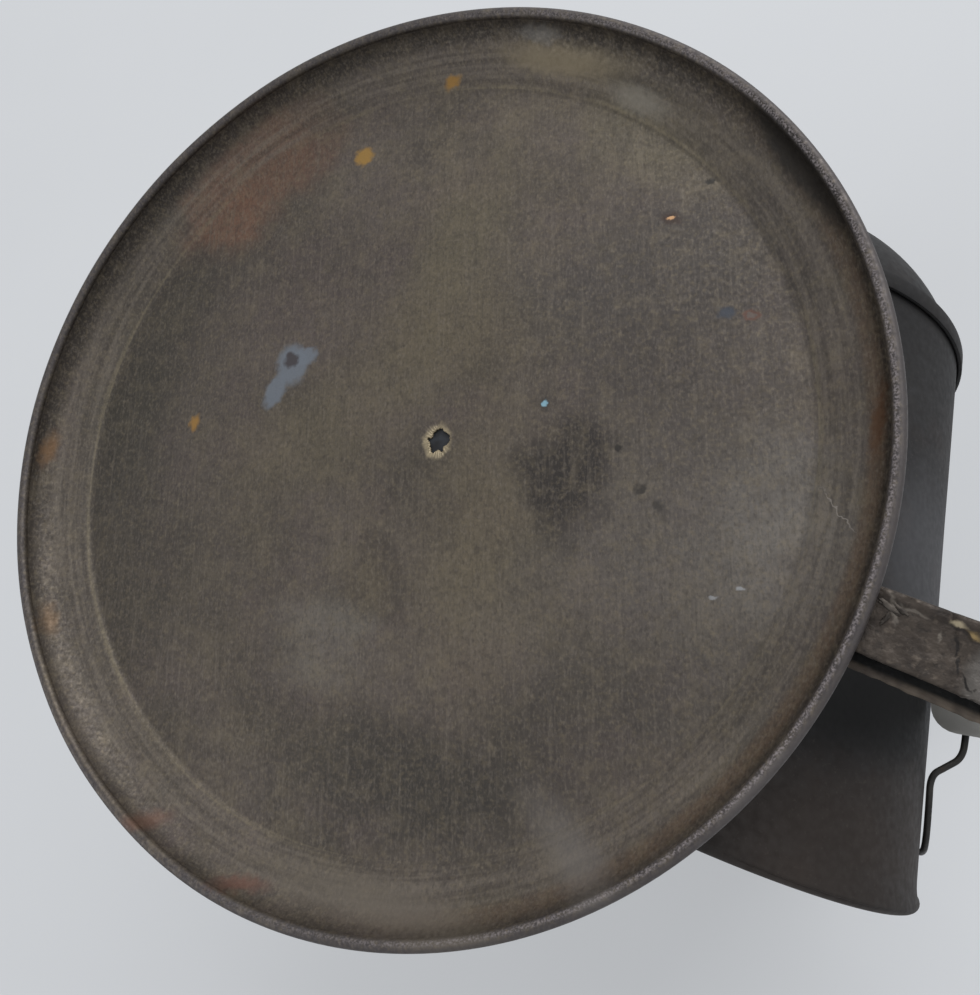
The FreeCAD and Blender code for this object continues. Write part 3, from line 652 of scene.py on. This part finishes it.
def makeHandleSolder():
    bm = bmesh.new()
    for along, across, length, width in handle["solder"]:
        blob = bmesh.ops.create_icosphere(bm, subdivisions=4, radius=1.0)["verts"]
        for vert in blob:
            lump = 1 + 0.6 * noise.noise(vert.co * 1.9 + Vector((along, across, 0)))
            vert.co.x *= length * lump
            vert.co.y *= width * lump
            vert.co.z *= handle["solderRise"]
        turn = Matrix.Rotation(handle["solderTurn"], 3, "Z")
        bmesh.ops.rotate(bm, cent=(0, 0, 0), matrix=turn, verts=blob)
        bmesh.ops.translate(bm, vec=(along, across, -handle["drop"] - 0.06), verts=blob)
    bmesh.ops.transform(bm, matrix=handlePlace, verts=bm.verts)
    finishPiece(bm, "handleSolder", "pan", solder, ["handle_solder"], 180)


makeHandleTop()
makeHandleSole()
makeHandleSolder()

# Barrel: along its own axis, z in mm from the frame's barrel point; local y is its underside
barrelAxis = Vector(joints["crank_turn"]["axis"]).normalized()
barrelPoint = Vector(joints["crank_turn"]["pos_m"]) - barrelAxis * 0.2
sideways = Vector((1, 0, 0))
underside = barrelAxis.cross(sideways)
barrelTurn = Matrix((sideways, underside, barrelAxis)).transposed().to_4x4()
barrelPlace = Matrix.Translation(barrelPoint) @ barrelTurn @ Matrix.Scale(mm, 4)
barrel = dict(
    radius=68.0, end=177.0, sheet=0.8, turns=256, mouthAt=17.0, tilt=-9.86, swing=11.75, beadRing=68.6,
    bead=1.9, flare=0.7, flareLength=3.2, windowHalf=35.0, window=(60.0, 130.0), dent=0.35,
    mouthRows=(0, 0.8, 1.8, 3, 4.5, 6.5, 9, 13, 19, 27, 37, 48),
    rows=(60, 72, 84, 95, 106, 118, 130, 142, 155, 167),
)
slant = (
    Matrix.Translation((0, 0, barrel["mouthAt"]))
    @ Matrix.Rotation(math.radians(barrel["swing"]), 4, "Y")
    @ Matrix.Rotation(-math.radians(barrel["tilt"]), 4, "X"))
mouthNormal = slant.to_3x3() @ Vector((0, 0, 1))


def spinRound(bm, steps):
    bmesh.ops.spin(
        bm, geom=bm.verts[:] + bm.edges[:], cent=(0, 0, 0), axis=(0, 0, 1), angle=math.tau, steps=steps,
        use_merge=True)
    bmesh.ops.remove_doubles(bm, verts=bm.verts, dist=0.004)


def addProfile(bm, points):
    verts = [bm.verts.new((r, 0, z)) for r, z in points]
    for first, second in zip(verts, verts[1:]):
        bm.edges.new((first, second))


def makeBarrel():
    bm = bmesh.new()
    profile = []
    for row in barrel["mouthRows"]:
        flare = barrel["flare"] * math.exp(-(row / barrel["flareLength"]) ** 2)
        profile.append((barrel["radius"] + flare, row))
    profile += [(barrel["radius"], row) for row in (*barrel["rows"], barrel["end"])]
    addProfile(bm, profile)
    spinRound(bm, barrel["turns"])
    firm = barrel["window"][0] - 6
    for vert in bm.verts:  # the mouth is cut on a slant
        edgeAt = barrel["mouthAt"] - (mouthNormal.x * vert.co.x + mouthNormal.y * vert.co.y) / mouthNormal.z
        vert.co.z += edgeAt * (1 - min(vert.co.z / firm, 1.0))
        angle = math.atan2(vert.co.y, vert.co.x)
        around = Vector((1.4 * math.cos(angle), 1.4 * math.sin(angle), vert.co.z / 55))
        dent = barrel["dent"] * noise.noise(around)
        stretch = 1 - ease(vert.co.z, 120, 165)
        vert.co.x *= 1 + min(dent, 0.0) / barrel["radius"] * stretch
        vert.co.y *= 1 + min(dent, 0.0) / barrel["radius"] * stretch
    for side in (-1, 1):
        below = [face for face in bm.faces if face.calc_center_median().y > 0]
        edges = list({edge for face in below for edge in face.edges})
        verts = list({vert for face in below for vert in face.verts})
        bmesh.ops.bisect_plane(
            bm, geom=below + edges + verts, dist=0.0001, plane_co=(side * barrel["windowHalf"], 0, 0),
            plane_no=(1, 0, 0))
    gone = []
    for face in bm.faces:
        middle = face.calc_center_median()
        within = barrel["window"][0] < middle.z < barrel["window"][1]
        if within and abs(middle.x) < barrel["windowHalf"] and middle.y > 0:
            gone.append(face)
    bmesh.ops.delete(bm, geom=gone, context="FACES")
    bmesh.ops.recalc_face_normals(bm, faces=bm.faces)
    faceOutwards(bm, Vector((barrel["radius"], 0, 100)), Vector((1, 0, 0)))
    bmesh.ops.transform(bm, matrix=barrelPlace, verts=bm.verts)
    piece = finishPiece(bm, "barrelShell", "mill", barrelTin, ["barrel"], 50)
    giveWall(piece, barrel["sheet"] * mm)


def makeMouthBead():
    bm = bmesh.new()
    ring = bmesh.ops.create_circle(bm, segments=20, radius=barrel["bead"])
    turn = Matrix.Translation((barrel["beadRing"], 0, 0)) @ Matrix.Rotation(math.pi / 2, 4, "X")
    bmesh.ops.transform(bm, matrix=turn, verts=ring["verts"])
    spinRound(bm, 220)
    bmesh.ops.recalc_face_normals(bm, faces=bm.faces)
    bmesh.ops.transform(bm, matrix=barrelPlace @ slant, verts=bm.verts)
    finishPiece(bm, "mouthBead", "mill", barrelTin, ["mouth_bead"])


cap = dict(
    skirt=(69.1, 173.0), shoulder=(69.1, 178.7), domeFoot=(66.2, 180.5), domeTop=(8.0, 229.3), sheet=0.8,
    flange=(0.5, 5.4),
)


def makeCap():
    bm = bmesh.new()
    footRadius, footAt = cap["domeFoot"]
    topRadius, topAt = cap["domeTop"]
    middleAt = (footRadius ** 2 + footAt ** 2 - topRadius ** 2 - topAt ** 2) / (2 * (footAt - topAt))
    ball = math.hypot(footRadius, footAt - middleAt)
    skirtRadius, skirtAt = cap["skirt"]
    shoulderAt = cap["shoulder"][1]
    skirtLength = shoulderAt - 0.6 - skirtAt
    points = [(skirtRadius, skirtAt + share * skirtLength) for share in (0, 0.4, 0.8, 1)]
    points += [(skirtRadius - 0.2, shoulderAt - 0.15), (skirtRadius - 0.7, shoulderAt)]
    points += [(footRadius + 0.5, footAt - 0.9)]
    for step in range(33):
        radius = footRadius + (topRadius - footRadius) * (step / 32) ** 1.6
        points.append((radius, middleAt + math.sqrt(ball ** 2 - radius ** 2)))
    addProfile(bm, points)
    spinRound(bm, 240)
    faceOutwards(bm, Vector((40, 0, 200)), Vector((0, 0, 1)))
    bmesh.ops.transform(bm, matrix=barrelPlace, verts=bm.verts)
    piece = finishPiece(bm, "capDome", "cap", barrelTin, ["cap_dome"], 50)
    giveWall(piece, cap["sheet"] * mm)


def makeCapFlange():
    bm = bmesh.new()
    low = cap["skirt"][1]
    inner = cap["skirt"][0]
    width, height = cap["flange"]
    high = low + height
    outline = [(inner, low), (inner + 0.6 * width, low), (inner + width, low + 0.5)]
    outline += [(inner + width, high - 0.9), (inner + 0.6 * width, high - 0.2), (inner, high)]
    verts = [bm.verts.new((r, 0, z)) for r, z in outline]
    for first, second in zip(verts, verts[1:] + verts[:1]):
        bm.edges.new((first, second))
    spinRound(bm, 240)
    bmesh.ops.recalc_face_normals(bm, faces=bm.faces)
    bmesh.ops.transform(bm, matrix=barrelPlace, verts=bm.verts)
    finishPiece(bm, "capFlange", "cap", barrelTin, ["cap_flange"])


makeBarrel()
makeMouthBead()
makeCap()
makeCapFlange()

# Crank: a flat arm with rounded edges, a six-sided nut and a turned grip, along the barrel's axis in mm
crank = dict(
    armFrom=243.0, armThick=4.0, armHalf=7.0, armLength=70.0, armEdge=0.9, nutRadius=7.5, nutHeight=6.0,
    nutEdge=0.7, gripFrom=247.5, gripEdge=0.9,
    grip=(
        (3.05, 0), (6.6, 0), (7.2, 2.6), (7.0, 5.0), (9.6, 12), (11.6, 21), (11.2, 28.5), (8.4, 34.4),
        (5.6, 36), (3.05, 36)),
)


def makeCrankArm():
    bm = bmesh.new()
    outline = []
    half = crank["armHalf"]
    for end, start in ((crank["armLength"], 0.0), (0.0, math.pi)):
        for step in range(25):
            angle = start + math.pi * step / 24
            outline.append((half * math.cos(angle), end + half * math.sin(angle), crank["armFrom"]))
    plate = bm.faces.new([bm.verts.new(point) for point in outline])
    grown = bmesh.ops.extrude_face_region(bm, geom=[plate])["geom"]
    raised = [item for item in grown if isinstance(item, bmesh.types.BMVert)]
    bmesh.ops.translate(bm, vec=(0, 0, crank["armThick"]), verts=raised)
    bmesh.ops.recalc_face_normals(bm, faces=bm.faces)
    rims = [edge for edge in bm.edges if abs(edge.verts[0].co.z - edge.verts[1].co.z) < 0.01]
    bmesh.ops.bevel(
        bm, geom=rims, offset=crank["armEdge"], offset_type="OFFSET", segments=3, profile=0.5,
        affect="EDGES", material=-1)
    bmesh.ops.transform(bm, matrix=barrelPlace, verts=bm.verts)
    finishPiece(bm, "crankArm", "crank", iron, ["crank_arm"], 60)


def makeCrankNut():
    bm = bmesh.new()
    bmesh.ops.create_circle(bm, cap_ends=True, segments=6, radius=crank["nutRadius"])
    grown = bmesh.ops.extrude_face_region(bm, geom=bm.faces[:])["geom"]
    raised = [item for item in grown if isinstance(item, bmesh.types.BMVert)]
    bmesh.ops.translate(bm, vec=(0, 0, crank["nutHeight"]), verts=raised)
    bmesh.ops.recalc_face_normals(bm, faces=bm.faces)
    bmesh.ops.bevel(
        bm, geom=bm.edges[:], offset=crank["nutEdge"], offset_type="OFFSET", segments=3, profile=0.5,
        affect="EDGES", material=-1)
    bmesh.ops.translate(bm, vec=(0, 0, crank["armFrom"] + crank["armThick"]), verts=bm.verts)
    bmesh.ops.transform(bm, matrix=barrelPlace, verts=bm.verts)
    finishPiece(bm, "crankNut", "crank", iron, ["crank_nut"], 50)


def makeGrip():
    bm = bmesh.new()
    addProfile(bm, crank["grip"])
    bm.verts.ensure_lookup_table()
    bmesh.ops.bevel(
        bm, geom=bm.verts[1:-1], offset=crank["gripEdge"], offset_type="OFFSET", segments=4, profile=0.5,
        affect="VERTICES", material=-1)
    spinRound(bm, 72)
    bmesh.ops.recalc_face_normals(bm, faces=bm.faces)
    bmesh.ops.translate(bm, vec=(0, crank["armLength"], crank["gripFrom"]), verts=bm.verts)
    bmesh.ops.transform(bm, matrix=barrelPlace, verts=bm.verts)
    finishPiece(bm, "grip", "knob", beech, ["crank_knob"], 70)


# Strap: one strip bent over at the top and soldered to the barrel at its foot, in mm in the frame
strap = dict(
    near=-51.2, far=-29.2, foot=142.6, out=164.4, low=150.2, high=226.5, tab=153.6, sheet=0.8, bend=2.6,
    corner=7.0,
)


def makeStrap():
    bm = bmesh.new()
    corners = [(strap["foot"], strap["low"]), (strap["out"], strap["low"]), (strap["out"], strap["high"])]
    corners.append((strap["tab"], strap["high"]))
    verts = [bm.verts.new((x, strap["near"], z)) for x, z in corners]
    for first, second in zip(verts, verts[1:]):
        bm.edges.new((first, second))
    bmesh.ops.bevel(
        bm, geom=verts[1:-1], offset=strap["bend"], offset_type="OFFSET", segments=6, profile=0.5,
        affect="VERTICES", material=-1)
    grown = bmesh.ops.extrude_edge_only(bm, edges=bm.edges[:])["geom"]
    moved = [item for item in grown if isinstance(item, bmesh.types.BMVert)]
    bmesh.ops.translate(bm, vec=(0, strap["far"] - strap["near"], 0), verts=moved)
    ends = [vert for vert in bm.verts if abs(vert.co.x - strap["foot"]) < 0.01]
    bmesh.ops.bevel(
        bm, geom=ends, offset=strap["corner"], offset_type="OFFSET", segments=6, profile=0.5,
        affect="VERTICES", material=-1)
    faceOutwards(bm, Vector((strap["out"], -40, 190)), Vector((1, 0, 0)))
    bmesh.ops.transform(bm, matrix=Matrix.Scale(mm, 4), verts=bm.verts)
    piece = finishPiece(bm, "strap", "mill", strapTin, ["handle_rest"], 50)
    giveWall(piece, strap["sheet"] * mm)


# Wire: from the strap in an S-bend to the barrel's wall, along it and under it, points in mm in the frame
brace = dict(
    radius=0.95, sides=14, route=(
        (152.4, -42.0, 147.6), (152.4, -51.0, 147.6), (152.0, -57.6, 147.6), (148.0, -61.0, 147.5),
        (144.4, -64.0, 147.4), (144.7, -72.0, 146.6), (145.0, -82.0, 144.5), (145.2, -87.0, 136.0),
        (143.6, -88.2, 118.0), (133.7, -89.2, 99.9), (113.7, -90.2, 81.5)),
)


def makeBraceWire():
    bm = bmesh.new()
    points = [Vector(point) for point in brace["route"]]
    for _ in range(3):  # bends are rounded by cutting every corner off at its quarters
        cut = [points[0]]
        for first, second in zip(points, points[1:]):
            cut += [first.lerp(second, 0.25), first.lerp(second, 0.75)]
        points = cut + [points[-1]]
    rings = []
    along = (points[1] - points[0]).normalized()
    frameTurn = along.to_track_quat("Z", "Y")
    for index, point in enumerate(points):
        onward = (points[min(index + 1, len(points) - 1)] - points[max(index - 1, 0)]).normalized()
        frameTurn = along.rotation_difference(onward) @ frameTurn
        along = onward
        ring = bmesh.ops.create_circle(bm, segments=brace["sides"], radius=brace["radius"])["verts"]
        place = Matrix.Translation(point) @ frameTurn.to_matrix().to_4x4()
        bmesh.ops.transform(bm, matrix=place, verts=ring)
        rings.append(list({edge for vert in ring for edge in vert.link_edges}))
    for first, second in zip(rings, rings[1:]):
        bmesh.ops.bridge_loops(bm, edges=first + second)
    bmesh.ops.recalc_face_normals(bm, faces=bm.faces)
    bmesh.ops.transform(bm, matrix=Matrix.Scale(mm, 4), verts=bm.verts)
    finishPiece(bm, "braceWire", "mill", iron, ["rest_wire"], 60)


# Drop of brazing metal on the outside of the curl
drop = dict(at=(116.3, 48.0, 240.2), size=(1.0, 1.3, 0.9))


def makeDrop():
    bm = bmesh.new()
    bmesh.ops.create_icosphere(bm, subdivisions=4, radius=1.0)
    for vert in bm.verts:
        lump = 1 + 0.4 * noise.noise(vert.co * 1.7)
        vert.co = Vector(side * reach * lump for side, reach in zip(vert.co, drop["size"]))
    bmesh.ops.translate(bm, vec=drop["at"], verts=bm.verts)
    bmesh.ops.transform(bm, matrix=Matrix.Scale(mm, 4), verts=bm.verts)
    finishPiece(bm, "brassDrop", "pan", brass, (), 180)


makeCrankArm()
makeCrankNut()
makeGrip()
makeStrap()
makeBraceWire()
makeDrop()

# Floor, light and camera
floorSize = 8.0


def addShown(tree):  # 1 where a ray from the camera, a mirror or clear glass arrives
    path = addNode(tree, "ShaderNodeLightPath")
    seen = addNode(tree, "ShaderNodeMath", {
        0: path.outputs["Is Camera Ray"], 1: path.outputs["Is Glossy Ray"]}, operation="MAXIMUM")
    shown = addNode(tree, "ShaderNodeMath", {
        0: seen.outputs[0], 1: path.outputs["Is Transmission Ray"]}, operation="MAXIMUM")
    return shown.outputs[0]


def makeFloor():
    material, tree, shader, coords = startMaterial("pale studio paper", 0.0, 0.9)
    colour = addMottle(tree, coords, linear("d6d9dd"), "dadde1", 260, 0.36, 0.64, 1.0)
    tree.links.new(colour, shader.inputs["Base Color"])
    shader.inputs["Specular IOR Level"].default_value = 0.1
    # seen directly or mirrored, half of the paper's tone is its own, so that the shadow on it stays pale
    seen = addNode(tree, "ShaderNodeMath", {0: addShown(tree), 1: 0.5}, operation="MULTIPLY")
    glow = addNode(tree, "ShaderNodeEmission", {"Color": linear("d8dbdf")})
    both = addNode(tree, "ShaderNodeMixShader", {
        0: seen.outputs[0], 1: shader.outputs[0], 2: glow.outputs[0]})
    output = next(node for node in tree.nodes if node.bl_idname == "ShaderNodeOutputMaterial")
    tree.links.new(both.outputs[0], output.inputs["Surface"])
    bm = bmesh.new()
    bmesh.ops.create_grid(bm, x_segments=4, y_segments=4, size=floorSize / 2)
    mesh = bpy.data.meshes.new("floor")
    bm.to_mesh(mesh)
    bm.free()
    mesh.materials.append(material)
    floor = bpy.data.objects.new("floor", mesh)
    scene.collection.objects.link(floor)


def makeWorld():
    world = bpy.data.worlds.new("studio")
    world.use_nodes = True
    tree = world.node_tree
    tree.nodes.clear()
    light = addNode(tree, "ShaderNodeBackground", {"Color": linear("ffffff"), "Strength": 0.3})
    paper = addNode(tree, "ShaderNodeBackground", {"Color": linear("d5d8dc"), "Strength": 1.0})
    both = addNode(tree, "ShaderNodeMixShader", {
        0: addShown(tree), 1: light.outputs[0], 2: paper.outputs[0]})
    addNode(tree, "ShaderNodeOutputWorld", {"Surface": both.outputs[0]})
    scene.world = world


def addSoftbox(name, at, aim, size, power):
    lamp = bpy.data.lights.new(name, "AREA")
    lamp.shape = "SQUARE"
    lamp.size = size
    lamp.energy = power
    box = bpy.data.objects.new(name, lamp)
    box.location = at
    box.rotation_euler = (Vector(aim) - Vector(at)).to_track_quat("-Z", "Y").to_euler()
    scene.collection.objects.link(box)


view = dict(
    at=(0.12047, -0.05263, 0.44294), right=(0.9171, 0.1758, -0.3579), up=(-0.0990, 0.9698, 0.2229),
    focusPixels=900.0, imageHeight=995.0, sensor=36.0,
)


def makeCamera():
    lens = bpy.data.cameras.new("photo view")
    lens.sensor_fit = "VERTICAL"
    lens.sensor_height = view["sensor"]
    lens.lens = view["focusPixels"] / view["imageHeight"] * view["sensor"]
    lens.clip_start = 0.01
    camera = bpy.data.objects.new("photo view", lens)
    right = Vector(view["right"]).normalized()
    up = Vector(view["up"]).normalized()
    turn = Matrix((right, up, right.cross(up))).transposed()
    camera.matrix_world = Matrix.Translation(view["at"]) @ turn.to_4x4()
    scene.collection.objects.link(camera)
    scene.camera = camera


makeFloor()
makeWorld()
addSoftbox("window", (0.5, 1.4, 1.5), (0.0, 0.0, 0.2), 1.5, 31.0)
addSoftbox("fill", (-1.2, -0.9, 1.3), (0.0, 0.0, 0.2), 1.2, 7.0)
makeCamera()
scene.view_settings.view_transform = "Standard"
